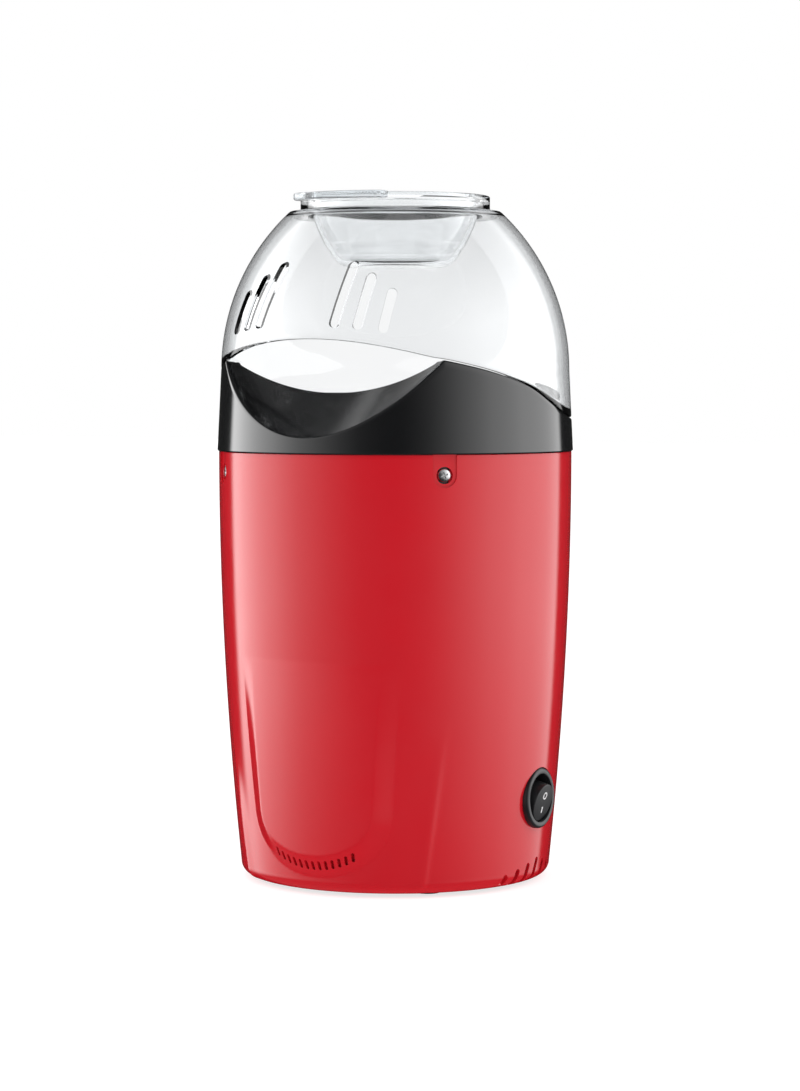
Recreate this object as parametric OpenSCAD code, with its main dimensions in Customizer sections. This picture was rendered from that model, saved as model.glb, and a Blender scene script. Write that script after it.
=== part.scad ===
// Hot-air popcorn maker, in millimetres.
// Origin: middle of the base at the feet's underside. +Z is up and the chute faces -Y.
// An angle called psi is counted from the front, positive towards +X.

/* [Body] */
// Height of the seam between the body and the collar
seam_z = 183; // [181:0.5:185]
// Radius of the body at the seam
body_top_r = 75.7; // [75.4:0.1:76]
// Radius of the body's barrel curve, seen from the side
barrel_r = 1700; // [1600:50:2000]
// Thickness of the body's wall
body_wall = 2.2; // [2:0.1:2.4]
// How far the U panel stands proud at its lower end
bib_proud = 3.5; // [1.5:0.5:4]
// Half-width of the U panel at its lower straight end
bib_half_w = 29.5; // [27:0.5:31]

/* [Chute collar] */
// Radius of the collar at the seam
collar_r = 76.3; // [76:0.1:76.6]
// Height of the chute's lip above the seam
lip_rise = 6.3; // [5:0.1:7.5]
// Slope of the chute's ramp in degrees
ramp_tilt = 35.7; // [35:0.1:36.5]
// Radius of the chute's trough
trough_r = 119.5; // [117:0.5:122]
// Distance from the axis to the chute's back edge
chute_back = 50; // [49.6:0.1:51]
// Radius of the opening above the popping chamber
mouth_r = 47; // [46.8:0.1:47.4]

/* [Lid and cup] */
// Radius of the lid's domed outline
dome_r = 92; // [91.5:0.1:92.5]
// Thickness of the lid's wall
lid_wall = 2.2; // [1.8:0.1:2.4]
// Radius of the flat shoulder round the cup
shoulder_r = 45.5; // [45:0.1:46]
// Radius of the measuring cup's skirt
cup_r = 40.5; // [40.3:0.1:40.8]
// Turn of the lid on the collar in degrees
lid_turn = -4; // [-8:1:8]
// Width of one slot in the lid
slot_w = 4.2; // [3:0.1:5]

/* [Popping chamber and heater] */
// Inner radius of the popping chamber
chamber_r = 43; // [42:0.5:43]
// Height of the popping chamber's floor
chamber_z = 122; // [121.5:0.5:123]
// Number of louvres in the popping chamber
louvres = 20; // [12:2:24]

/* [Fan and motor] */
// Radius of the fan's impeller
impeller_r = 34; // [28:1:44]
// Number of blades on the impeller
blades = 10; // [6:1:14]
// Radius of the motor's shaft
shaft_r = 1.13; // [1.1:0.01:1.14]

/* [Switch] */
// Height of the power switch's centre
switch_z = 37.5; // [36:0.5:40]
// Full swing of the rocker in degrees
rocker_swing = 30; // [24:1:32]

/* [Base] */
// Radius of the vented base plate
base_r = 60.7; // [60:0.1:60.8]
// Radius of the hole for the mains cord
cord_hole_r = 3.6; // [3:0.1:4]

/* [Hidden] */
$fn = 96;
eps = 0.01;
gap = 0.3;

// Heights of the body and its base
shell_bottom_z = 1.5;
corner_r = 5;
corner_z = shell_bottom_z + corner_r;
plate_bottom_z = 2;
plate_top_z = 5;
bib_foot_z = 12.5;
bib_bend_z = 35;

// Radius of the pilot holes that the screws cut their threads in
pilot_r = 1.3;

// Screws between the body and the collar
collar_screw_psi = [45, 135, 225, 315];
collar_screw_z = seam_z - 8.5;
collar_boss_back_r = 66;
screw_seat_r = 73.7;
skirt_outer_r = 73.1;
skirt_inner_r = 71;

// Bosses, legs and feet on the base, each as [radius, list of psi]
boss_r = 55;
boss_psi = [20, 160, 200, 340];
leg_r = 48;
leg_psi = [30, 150, 270];
foot_r = 50;
foot_psi = [45, 135, 225, 315];

// Collar and lid heights
deck_z = seam_z + 17.8;
deck_t = 2.5;
lip_r = 70.6;
lip_t = 2.2;
dome_z = seam_z + 34.5;
dome_x = 74.6 - dome_r;
shoulder_z = seam_z + 102;
cup_top_z = seam_z + 108.5;
arch_r = 165;
arch_top_z = seam_z + 46.9;
// The arch meets the parting line this far in front of the axis
arch_start = 36;

// Side-view lines as [distance towards the front, height above the seam]
PARTING = [
    [-90, 14], [-36, 14], [-23, 14.8], [-11, 17], [2, 21.6], [15, 27.2], [34, 33.4], [51, 38], [90, 38]
];
LIP_TOP = [[-90, 24.6], [-30, 24.6], [-2, 28], [15, 30.7], [30, 33], [51, 38], [90, 38]];

// Slots in the lid as [psi from the lid's middle, foot and top above the seam]
SLOTS = [[15.5, 51.4, 78.5], [23, 50.6, 73.6], [31, 49.3, 67.3]];
slot_lean = 13.5;

// Levels of the heater, fan and motor
chamber_rim_z = 193;
chamber_flange_z = 140;
drum_r = 54;
housing_r = 52;
housing_top_z = 96;
housing_floor_z = 70;
flange_r = 60;
flange_screw_r = 57;
flange_screw_psi = [60, 180, 300];
chamber_screw_r = 49;
chamber_screw_psi = [0, 120, 240];
impeller_z = 76;
motor_r = 14;
motor_top_z = 68;
motor_bottom_z = 31;
motor_screw_r = 9;
motor_screw_psi = [90, 270];
bush_r = 3;
bush_bore_r = shaft_r + 0.04;
rotor_bore_r = shaft_r + 0.02;
COIL_RADII = [16, 24, 32, 40];
COIL_LEVELS = [104, 112];
coil_wire_r = 1.5;

// Switch, measured outwards along its own axis from the body's axis
pivot_r = 64.1;
bezel_r = 12.8;
bezel_seat_r = 68.3;
bezel_t = 2.5;
rocker_r = 8.1;
rocker_face = 7.7;
pocket_r = 10.1;
pocket_floor_r = 61.5;
switch_barrel_r = 11.2;
switch_back_r = 47;
axle_r = 0.7;
axle_length = 21.2;

// Cord gland
gland_z = 16;
gland_seat_r = 67;

function barrel(z) = body_top_r - barrel_r + sqrt(pow(barrel_r, 2) - pow(seam_z - z, 2));
function collar(z) = collar_r - (z - seam_z) * 0.0486;
function dome(z) = dome_x + sqrt(pow(dome_r, 2) - pow(z - dome_z, 2));
function lid_outer(z) = z < dome_z ? 74.6 + (dome_z - z) * 0.0486 : dome(z);
function shift(points, dz) = [for (p = points) [p[0], p[1] + dz]];
function levels(low, high, count) = [for (i = [0 : count]) low + (high - low) * i / count];

// Children drawn along +Z are turned to point outwards at psi, at height z
module radial(psi, z) {
    rotate([0, 0, psi]) translate([0, 0, z]) rotate([90, 0, 0]) children();
}

// Children are repeated at each psi and moved out to radius r
module around(psis, r) {
    for (psi = psis) rotate([0, 0, psi]) translate([0, -r, 0]) children();
}

module tube(r_out, r_in, z, h) {
    translate([0, 0, z]) difference() {
        cylinder(r = r_out, h = h);
        translate([0, 0, -1]) cylinder(r = r_in, h = h + 2);
    }
}

// Everything under a side-view line, across the whole width
module below_line(line) {
    first = line[0];
    last = line[len(line) - 1];
    rotate([90, 0, -90]) linear_extrude(200, center = true)
        polygon(concat([[first[0], 0], [last[0], 0]], [for (i = [len(line) - 1 : -1 : 0]) line[i]]));
}

// The chute's trough, as a tilted cylinder that also reaches out past the lip
module trough(extra) {
    translate([0, -collar_r, seam_z + lip_rise]) rotate([ramp_tilt, 0, 0])
        translate([0, -60, trough_r]) rotate([-90, 0, 0]) cylinder(r = trough_r + extra, h = 220);
}

// A pan-head screw that points along -Z, with the underside of its head at z = 0
module screw(head_r, head_h, shank_r, length) {
    difference() {
        cylinder(r = head_r, h = head_h);
        for (turn = [0, 90]) {
            rotate([0, 0, turn]) translate([-head_r * 0.6, -head_r * 0.12, head_h * 0.5])
                cube([head_r * 1.2, head_r * 0.24, head_h]);
        }
    }
    translate([0, 0, -length]) cylinder(r = shank_r, h = length + eps);
}

// ---- Body ----

module body_profile() {
    heights = levels(corner_z, seam_z, 16);
    corner = [for (a = [-90 : 15 : -15])
        [barrel(corner_z) - corner_r * (1 - cos(a)), corner_z + corner_r * sin(a)]];
    inner = [for (i = [16 : -1 : 0]) [barrel(heights[i]) - body_wall, heights[i]]];
    polygon(concat([[base_r + gap, shell_bottom_z]], corner, [for (z = heights) [barrel(z), z]], inner,
        [[base_r + gap, corner_z]]));
}

// Raised U panel: proud at its foot and level with the body at its top
module bib() {
    top_z = 97;
    top_half_w = bib_half_w + 4;
    heights = levels(bib_foot_z, top_z, 8);
    arc = [for (a = [0 : 10 : 180]) [bib_half_w * cos(a), bib_bend_z - (bib_bend_z - bib_foot_z) * sin(a)]];
    intersection() {
        rotate_extrude() polygon(concat([for (z = heights) [barrel(z) - 1, z]],
            [for (i = [8 : -1 : 0]) let (z = heights[i])
                [barrel(z) + bib_proud * (top_z - z) / (top_z - bib_foot_z), z]]));
        rotate([90, 0, 0]) linear_extrude(100)
            polygon(concat([[top_half_w, top_z]], arc, [[-top_half_w, top_z]]));
    }
}

// Blind grooves in the panel's lower edge, which follow its round end
module comb_grooves() {
    pitch = 2.5;
    groove_w = 1.4;
    groove_h = 2.8;
    groove_floor_r = 68.6;
    for (i = [-6 : 6]) {
        across = barrel(bib_foot_z) * sin(i * pitch) / bib_half_w;
        z = bib_bend_z - (bib_bend_z - bib_foot_z) * sqrt(1 - pow(across, 2));
        radial(i * pitch, z) translate([-groove_w / 2, 0.1, groove_floor_r]) cube([groove_w, groove_h, 10]);
    }
}

// Slots cut straight in from each side, tallest in the middle of the row
module bottom_vents() {
    vent_w = 2.6;
    vent_pitch = 7.1;
    vent_depth_r = 61.5;
    for (side = [90, 270]) {
        for (i = [-3 : 3]) {
            vent_h = 12.5 - abs(i) * 1.7;
            radial(side, 0) translate([i * vent_pitch - vent_w / 2, 0, vent_depth_r])
                cube([vent_w, vent_h, 20]);
        }
    }
}

module screw_channel(psi) {
    half_w = 5;
    radial(psi, collar_screw_z) translate([0, 0, body_top_r - 0.7]) {
        cylinder(r = half_w, h = 5);
        translate([-half_w, 0, 0]) cube([half_w * 2, 20, 5]);
    }
    radial(psi, collar_screw_z) translate([0, 0, 60]) cylinder(r = 1.6, h = 30);
    radial(psi, collar_screw_z) translate([0, 0, screw_seat_r]) cylinder(r = 3.5, h = 5);
}

module body_shell() {
    color("crimson") difference() {
        union() {
            rotate_extrude() body_profile();
            bib();
            around(boss_psi, boss_r) {
                translate([0, 0, plate_top_z]) cylinder(r = 3.6, h = 15);
                translate([-1, -9.8, plate_top_z]) cube([2, 8, 15]);
            }
        }
        around(boss_psi, boss_r) translate([0, 0, plate_top_z - 1]) cylinder(r = pilot_r, h = 13);
        comb_grooves();
        bottom_vents();
        for (psi = collar_screw_psi) screw_channel(psi);
        radial(90, switch_z) translate([0, 0, 50]) cylinder(r = switch_barrel_r + 0.2, h = 30);
        radial(90, switch_z) translate([0, 0, bezel_seat_r]) cylinder(r = bezel_r + 0.2, h = 10);
        radial(180, gland_z) translate([0, 0, 50]) cylinder(r = 5.3, h = 30);
        radial(180, gland_z) translate([0, 0, gland_seat_r]) cylinder(r = 8.2, h = 10);
    }
}

// ---- Collar ----

module chute_collar() {
    collar_h = 38.5;
    top_z = seam_z + collar_h;
    hollow_r = 68;
    skirt_hollow_r = 71.2;
    color("#1b1b1d") difference() {
        union() {
            intersection() {
                rotate_extrude()
                    polygon([[0, seam_z], [collar_r, seam_z], [collar(top_z), top_z], [0, top_z]]);
                below_line(shift(PARTING, seam_z));
            }
            intersection() {
                translate([0, 0, seam_z]) cylinder(r = lip_r, h = collar_h);
                below_line(shift(LIP_TOP, seam_z));
            }
            tube(skirt_outer_r, skirt_inner_r, seam_z - 17, 18);
            for (psi = collar_screw_psi) {
                radial(psi, collar_screw_z) translate([0, 0, collar_boss_back_r]) cylinder(r = 3.6, h = 6);
            }
        }
        // The deck's pocket ends in a wall at the chute's back edge
        intersection() {
            translate([0, 0, deck_z]) cylinder(r = lip_r - lip_t, h = 40);
            translate([-100, -chute_back, 0]) cube([200, 200, 300]);
        }
        trough(0);
        difference() {
            union() {
                translate([0, 0, seam_z - eps]) cylinder(r = skirt_hollow_r, h = 11.3);
                translate([0, 0, seam_z - eps]) cylinder(r = hollow_r, h = deck_z - deck_t - seam_z);
                // The hollow under the chute, in front of that wall
                intersection() {
                    translate([0, 0, seam_z]) cylinder(r = hollow_r, h = 33);
                    translate([-100, -chute_back - deck_t - 100, 0]) cube([200, 100, 300]);
                }
            }
            translate([0, 0, seam_z + 7]) cylinder(r = mouth_r + 2.2, h = 40);
            trough(deck_t);
        }
        translate([0, 0, seam_z - 20]) cylinder(r = mouth_r, h = 60);
        for (psi = collar_screw_psi) {
            radial(psi, collar_screw_z) translate([0, 0, collar_boss_back_r + 1])
                cylinder(r = pilot_r, h = 10);
        }
    }
}

module collar_screws() {
    color("silver") for (psi = collar_screw_psi) {
        radial(psi, collar_screw_z) translate([0, 0, screw_seat_r]) screw(2.7, 1.2, 1.25, 5);
    }
}

// ---- Lid and cup ----

module lid_profile() {
    low_z = seam_z + 13;
    under_z = shoulder_z - lid_wall;
    side = levels(low_z, dome_z, 2);
    arc = levels(dome_z, shoulder_z - 0.3, 16);
    inner_arc = [for (i = [15 : -1 : 1]) arc[i]];
    polygon(concat(
        [for (z = side) [lid_outer(z), z]],
        [for (i = [1 : 16]) [dome(arc[i]), arc[i]]],
        [[shoulder_r, shoulder_z], [38.4, shoulder_z], [38.4, shoulder_z + 3.5], [37.2, shoulder_z + 3.5]],
        [[37.2, under_z], [dome(under_z) - lid_wall - 1.5, under_z]],
        [for (z = inner_arc) if (z < under_z - 1) [dome(z) - lid_wall, z]],
        [for (i = [2 : -1 : 0]) [lid_outer(side[i]) - lid_wall, side[i]]]));
}

module lid_slot(psi, foot, top) {
    length = (top - foot) / cos(slot_lean) - slot_w;
    radial(lid_turn + psi, seam_z + (foot + top) / 2) rotate([0, 0, -slot_lean]) translate([0, 0, 40]) {
        translate([-slot_w / 2, -length / 2, 0]) cube([slot_w, length, 60]);
        for (end = [-1, 1]) translate([0, end * length / 2, 0]) cylinder(r = slot_w / 2, h = 60);
    }
}

module lid_dome() {
    color("#c9d2d6", 0.4) difference() {
        rotate_extrude() lid_profile();
        below_line(shift(PARTING, seam_z + gap));
        translate([0, -arch_start, arch_top_z - arch_r]) rotate([90, 0, 0]) cylinder(r = arch_r, h = 60);
        for (slot = SLOTS) {
            lid_slot(slot[0], slot[1], slot[2]);
            lid_slot(-slot[0], slot[1], slot[2]);
        }
    }
}

module measuring_cup() {
    tab_half = 23.5;
    tab_mid_r = 45.25;
    tab_end_r = 4.75;
    tab_t = 3;
    z = cup_top_z;
    color("#d6dee2", 0.4) {
        rotate_extrude() polygon([
            [0, z - 30], [21.5, z - 30], [26, z - 27.5], [30.4, z - 20.5], [35.6, z - 7.5],
            [36.2, z - 1.7], [39, z - 1.7], [39, z - 6.2], [cup_r, z - 6.2], [cup_r, z], [35, z],
            [34, z - 7.5], [28.9, z - 19.9], [24.8, z - 26.4], [20.8, z - 28.4], [0, z - 28.4]]);
        difference() {
            union() {
                rotate([0, 0, lid_turn - 90 - tab_half]) rotate_extrude(angle = 2 * tab_half)
                    translate([cup_r - 1, z - tab_t]) square([tab_mid_r + tab_end_r - cup_r + 1, tab_t]);
                for (side = [-1, 1]) {
                    rotate([0, 0, lid_turn + side * tab_half]) translate([0, -tab_mid_r, z - tab_t])
                        cylinder(r = tab_end_r, h = tab_t);
                }
            }
            translate([0, 0, z - 10]) cylinder(r = cup_r - 1, h = 20);
        }
    }
}

// ---- Popping chamber and heater ----

module popping_chamber() {
    wall = 1;
    color("#c8cacc") difference() {
        union() {
            translate([0, 0, chamber_z]) cylinder(r = chamber_r + wall, h = chamber_rim_z - chamber_z);
            translate([0, 0, chamber_rim_z - 1.5]) cylinder(r = mouth_r - 0.4, h = 1.5);
            translate([0, 0, chamber_flange_z]) cylinder(r = 53, h = 1);
        }
        translate([0, 0, chamber_z + 1.2]) cylinder(r = chamber_r, h = 100);
        for (i = [0 : louvres - 1]) {
            rotate([0, 0, i * 360 / louvres]) translate([0, -chamber_r, chamber_z + 8]) rotate([0, 0, 40])
                cube([1.6, 8, 8], center = true);
        }
        around(chamber_screw_psi, chamber_screw_r) translate([0, 0, chamber_flange_z - 1])
            cylinder(r = 1.25, h = 3);
    }
}

module chamber_screws() {
    color("silver") around(chamber_screw_psi, chamber_screw_r) translate([0, 0, chamber_flange_z + 1])
        screw(2.4, 1.8, 1.2, 7);
}

module heater_drum() {
    color("#a9abae") difference() {
        union() {
            tube(drum_r, drum_r - 1, housing_top_z, chamber_flange_z - housing_top_z);
            tube(drum_r, chamber_r + 1.4, chamber_flange_z - 1, 1);
            tube(flange_r, drum_r - 0.5, housing_top_z, 1);
        }
        around(chamber_screw_psi, chamber_screw_r) translate([0, 0, chamber_flange_z - 2])
            cylinder(r = 1.25, h = 4);
        around(flange_screw_psi, flange_screw_r) translate([0, 0, housing_top_z - 1])
            cylinder(r = 1.25, h = 3);
    }
}

module heater_frame() {
    ring_z = housing_top_z;
    ring_t = 1.2;
    vane_h = 22;
    color("#b79b6b") difference() {
        union() {
            tube(drum_r - 1.2, leg_r, ring_z, ring_t);
            for (turn = [0, 90]) {
                rotate([0, 0, turn]) translate([-49, -2.5, ring_z]) cube([98, 5, ring_t]);
                rotate([0, 0, turn]) translate([-47, -0.5, ring_z]) cube([94, 1, ring_t + vane_h]);
            }
        }
        for (z = COIL_LEVELS) {
            for (r = COIL_RADII) {
                translate([0, 0, z]) rotate_extrude() translate([r, 0])
                    circle(r = coil_wire_r + 0.25, $fn = 24);
            }
        }
    }
}

module heater_coil() {
    outer_r = COIL_RADII[len(COIL_RADII) - 1];
    lead_r = 50;
    ring_top = housing_top_z + 1.2;
    color("#8d8f92") union() {
        for (z = COIL_LEVELS) {
            for (r = COIL_RADII) {
                translate([0, 0, z]) rotate_extrude() translate([r, 0]) circle(r = coil_wire_r, $fn = 24);
            }
            radial(45, z) translate([0, 0, COIL_RADII[0]]) cylinder(r = 0.9, h = outer_r - COIL_RADII[0]);
        }
        for (psi = [45, 135]) {
            radial(psi, COIL_LEVELS[0]) translate([0, 0, outer_r]) cylinder(r = 0.9, h = lead_r - outer_r);
            around([psi], lead_r) translate([0, 0, ring_top])
                cylinder(r = 0.9, h = COIL_LEVELS[0] - ring_top);
        }
        around([225], outer_r) translate([0, 0, COIL_LEVELS[0]])
            cylinder(r = 0.9, h = COIL_LEVELS[1] - COIL_LEVELS[0]);
    }
}

module heat_shield() {
    ring_z = housing_top_z + 1;
    sleeve_r = 64.8;
    color("#b9bbbe") difference() {
        union() {
            tube(sleeve_r, drum_r + 0.3, ring_z, 1);
            tube(sleeve_r, sleeve_r - 0.8, ring_z, 66);
        }
        around(flange_screw_psi, flange_screw_r) translate([0, 0, ring_z - 1]) cylinder(r = 1.25, h = 3);
    }
}

// ---- Fan ----

module fan_housing() {
    color("#d8d2c4") difference() {
        union() {
            tube(housing_r, housing_r - 2, housing_floor_z, housing_top_z - housing_floor_z);
            translate([0, 0, housing_floor_z]) cylinder(r = housing_r, h = 2);
            tube(flange_r, housing_r - 2, housing_top_z - 1.5, 1.5);
            around(leg_psi, leg_r) translate([0, 0, plate_top_z])
                cylinder(r = 3.5, h = housing_floor_z - plate_top_z + 1);
        }
        translate([0, 0, housing_floor_z - 1]) cylinder(r = 5, h = 4);
        for (i = [0 : 7]) {
            around([i * 45 + 22.5], 28) translate([0, 0, housing_floor_z - 1]) cylinder(r = 5.5, h = 4);
        }
        around(motor_screw_psi, motor_screw_r) translate([0, 0, housing_floor_z - 1])
            cylinder(r = 1.5, h = 4);
        around(flange_screw_psi, flange_screw_r) translate([0, 0, housing_top_z - 3])
            cylinder(r = 1.25, h = 5);
        around(leg_psi, leg_r) translate([0, 0, plate_top_z - 1]) cylinder(r = pilot_r, h = 13);
    }
}

module housing_screws() {
    color("silver") around(flange_screw_psi, flange_screw_r) translate([0, 0, housing_top_z + 2])
        screw(2.2, 1.6, 1.2, 6);
}

module impeller() {
    hub_r = 5;
    blade_h = 12;
    color("#e6e2d8") difference() {
        union() {
            translate([0, 0, impeller_z]) cylinder(r = impeller_r, h = 1.4);
            translate([0, 0, impeller_z]) cylinder(r = hub_r, h = 14);
            for (i = [0 : blades - 1]) {
                rotate([0, 0, i * 360 / blades]) translate([hub_r + 5, -0.6, impeller_z])
                    rotate([0, 0, -14]) cube([impeller_r - hub_r - 6, 1.2, blade_h]);
            }
        }
        translate([0, 0, impeller_z - 1]) cylinder(r = rotor_bore_r, h = 20);
    }
}

module impeller_clip() {
    color("#707274") difference() {
        tube(3.4, rotor_bore_r, impeller_z + 14, 0.8);
        translate([-0.8, 0, impeller_z + 13]) cube([1.6, 5, 3]);
    }
}

// ---- Motor ----

module motor_shaft() {
    color("#9a9c9f") translate([0, 0, 26.8]) cylinder(r = shaft_r, h = 66);
}

module motor_can() {
    color("#b4b6b8") difference() {
        translate([0, 0, motor_bottom_z]) cylinder(r = motor_r, h = motor_top_z - motor_bottom_z);
        translate([0, 0, motor_bottom_z - 1])
            cylinder(r = motor_r - 1, h = motor_top_z - motor_bottom_z - 0.2);
        translate([0, 0, motor_top_z - 3]) cylinder(r = bush_r + 0.02, h = 5);
        around(motor_screw_psi, motor_screw_r) translate([0, 0, motor_top_z - 3]) cylinder(r = 1.5, h = 5);
    }
}

module motor_end_cap() {
    cap_z = motor_bottom_z - 3;
    color("#2a2a2c") difference() {
        union() {
            translate([0, 0, cap_z]) cylinder(r = motor_r, h = 3);
            tube(motor_r - 1.1, motor_r - 2.5, motor_bottom_z - eps, 2);
            around([0, 180], 9.7) translate([-2.5, -1.7, motor_bottom_z - eps]) cube([5, 3.4, 9]);
            around([90, 270], motor_screw_r) translate([0, 0, 24]) cylinder(r = 0.8, h = 4.5);
        }
        translate([0, 0, cap_z - 1]) cylinder(r = bush_r + 0.02, h = 8);
    }
}

module motor_magnets() {
    color("#3c3c40") for (start = [30, 210]) {
        rotate([0, 0, start]) rotate_extrude(angle = 120) translate([10.3, 42]) square([2.6, 20]);
    }
}

module motor_armature() {
    color("#b8733a") difference() {
        union() {
            difference() {
                translate([0, 0, 44]) cylinder(r = 9.9, h = 16);
                for (i = [0 : 4]) rotate([0, 0, i * 72]) translate([6.5, -0.7, 43]) cube([5, 1.4, 18]);
            }
            translate([0, 0, 41.5]) cylinder(r = 7.8, h = 2.6);
            translate([0, 0, 59.9]) cylinder(r = 7.8, h = 2.6);
        }
        translate([0, 0, 40]) cylinder(r = rotor_bore_r, h = 25);
    }
}

module motor_commutator() {
    color("#c77b3b") difference() {
        tube(3, rotor_bore_r, 34.5, 6.6);
        for (i = [0 : 4]) rotate([0, 0, i * 72]) translate([2.4, -0.15, 34]) cube([2, 0.3, 6]);
    }
}

module motor_brushes() {
    color("#4a4a4c") around([0, 180], 5.65) translate([-1.5, -2.35, 35.5]) cube([3, 4.7, 4]);
}

module motor_bearings() {
    color("#b08d4a") {
        tube(bush_r, bush_bore_r, 64.8, 4.2);
        tube(bush_r, bush_bore_r, 28.2, 3.2);
    }
}

module motor_mount() {
    color("#a4a6a9") difference() {
        translate([0, 0, motor_top_z]) cylinder(r = 19, h = housing_floor_z - motor_top_z);
        translate([0, 0, motor_top_z - 1]) cylinder(r = 4.5, h = 5);
        around(motor_screw_psi, motor_screw_r) translate([0, 0, motor_top_z - 1]) cylinder(r = 1.5, h = 5);
    }
}

module motor_screws() {
    color("silver") around(motor_screw_psi, motor_screw_r) translate([0, 0, housing_floor_z + 2])
        screw(2.6, 1.8, 1.45, 5.5);
}

module rectifier_board() {
    color("#3f6b3f") tube(13, 4.5, 22.5, 1.5);
}

module diodes() {
    color("#222224") for (psi = [45, 135, 225, 315]) {
        rotate([0, 0, psi]) translate([0, -8.7, 25.4]) rotate([0, 90, 0]) {
            translate([0, 0, -2.6]) cylinder(r = 1.3, h = 5.2);
            translate([0, 0, -4.2]) cylinder(r = 0.35, h = 8.4);
        }
        for (x = [-3.9, 3.9]) {
            rotate([0, 0, psi]) translate([x, -8.7, 24]) cylinder(r = 0.35, h = 1.4);
        }
    }
}

// ---- Heat safety and electrics ----

module thermostat() {
    color("#c2c4c6") radial(210, 118) {
        translate([0, 0, drum_r]) cylinder(r = 7, h = 7);
        for (x = [-3.5, 3.5]) translate([x - 0.4, -2.5, drum_r + 7 - eps]) cube([0.8, 5, 2.4]);
    }
}

module thermal_fuse() {
    color("#d9d9d3") rotate([0, 0, 100]) translate([0, -51, 0]) {
        translate([0, 0, 104]) cylinder(r = 1.6, h = 10);
        translate([0, 0, housing_top_z + 1.2]) cylinder(r = 0.4, h = 8);
    }
}

module terminal_block() {
    color("#e8e6df") difference() {
        translate([-10, 36, plate_top_z]) cube([20, 12, 9]);
        for (x = [-4, 4]) translate([x, 39, plate_top_z + 4]) cylinder(r = 1.8, h = 10);
    }
}

// Wires run straight from point to point, with a slightly fatter ball at each corner
module wire(points, r) {
    ball_r = r + 0.3;
    for (i = [0 : len(points) - 2]) {
        step = points[i + 1] - points[i];
        length = norm(step);
        translate(points[i]) rotate([0, acos(step[2] / length), atan2(step[1], step[0])])
            cylinder(r = r, h = length, $fn = 16);
    }
    for (i = [1 : len(points) - 2]) translate(points[i]) sphere(r = ball_r, $fn = 16);
}

module wiring() {
    wire_r = 1.1;
    under_flange = housing_top_z - 1.5;
    block_top = plate_top_z + 9;
    color("#d8d8d8") {
        wire([[8, 45, block_top], [8, 45, 24], [38.5, 5, 24], [38.5, 5, 33.5], [41, 5, 33.5]], wire_r);
        wire([[41, -5, 41.5], [38.5, -5, 41.5], [38.5, -5, 62], [56.5, -5, 62],
            [56.5, -5, under_flange]], wire_r);
        wire([[-8, 45, block_top], [-8, 45, 26], [-8, 56, 26], [-8, 56, under_flange]], wire_r);
        wire([[-9, 0, 22.5], [-9, 0, 17], [-40, 40, 17], [-40, 40, under_flange]], wire_r);
    }
}

// ---- Switch ----

module switch_housing() {
    color("#3a3b3e") radial(90, switch_z) difference() {
        union() {
            translate([0, 0, bezel_seat_r]) cylinder(r = bezel_r, h = bezel_t);
            translate([0, 0, switch_back_r])
                cylinder(r = switch_barrel_r, h = bezel_seat_r - switch_back_r + 1);
        }
        translate([0, 0, pocket_floor_r]) cylinder(r = pocket_r, h = 20);
        translate([-axle_length / 2 - 0.1, 0, pivot_r]) rotate([0, 90, 0])
            cylinder(r = axle_r + 0.05, h = axle_length + 0.2);
    }
}

module switch_rocker() {
    color("#2c2d30") radial(90, switch_z) translate([0, 0, pivot_r]) {
        rotate([rocker_swing / 2, 0, 0]) cylinder(r = rocker_r, h = rocker_face);
        translate([-axle_length / 2, 0, 0]) rotate([0, 90, 0]) cylinder(r = axle_r, h = axle_length);
    }
}

// The marks for off and on, printed on the rocker's face
module switch_marks() {
    mark_t = 0.2;
    spacing = 3.1;
    color("white") radial(90, switch_z) translate([0, 0, pivot_r]) rotate([rocker_swing / 2, 0, 0])
        translate([0, 0, rocker_face]) {
            translate([-0.35, -spacing - 1.3, 0]) cube([0.7, 2.6, mark_t]);
            translate([0, spacing, 0]) tube(1.6, 1.1, 0, mark_t);
        }
}

module switch_terminals() {
    color("#c9b27a") radial(90, switch_z) {
        for (y = [-4, 4]) translate([-5, y - 3, 41]) cube([10, 0.8, 6]);
    }
}

// ---- Base ----

module base_plate() {
    color("#26272a") difference() {
        translate([0, 0, plate_bottom_z]) cylinder(r = base_r, h = plate_top_z - plate_bottom_z);
        for (i = [0 : 23]) {
            rotate([0, 0, i * 15 + 7.5]) translate([-1.2, -40, 0]) cube([2.4, 18, 10]);
        }
        around(foot_psi, foot_r) cylinder(r = 2.05, h = 10);
        around(boss_psi, boss_r) cylinder(r = 1.3, h = 10);
        around(leg_psi, leg_r) cylinder(r = 1.3, h = 10);
        around(boss_psi, boss_r) cylinder(r = 2.9, h = plate_bottom_z + 1.3);
        around(leg_psi, leg_r) cylinder(r = 2.9, h = plate_bottom_z + 1.3);
    }
}

module base_screws() {
    seat_z = plate_bottom_z + 1.3;
    color("silver") {
        translate([0, 0, seat_z]) {
            around(boss_psi, boss_r) mirror([0, 0, 1]) screw(2.6, 1.2, 1.25, 10);
            around(leg_psi, leg_r) mirror([0, 0, 1]) screw(2.6, 1.2, 1.25, 10);
        }
    }
}

module feet() {
    color("#1d1d1f") around(foot_psi, foot_r) {
        cylinder(r = 5.5, h = plate_bottom_z);
        cylinder(r = 2, h = plate_top_z + 1);
        translate([0, 0, plate_top_z]) cylinder(r = 2.8, h = 1.6);
    }
}

module cord_gland() {
    color("#202124") radial(180, gland_z) difference() {
        union() {
            translate([0, 0, 60]) cylinder(r = 5.1, h = gland_seat_r - 60 + 1);
            translate([0, 0, gland_seat_r]) cylinder(r = 8, h = 2.5);
            translate([0, 0, 60]) cylinder(r = 7.5, h = 3);
        }
        translate([0, 0, 59]) cylinder(r = cord_hole_r, h = 20);
    }
}

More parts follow.
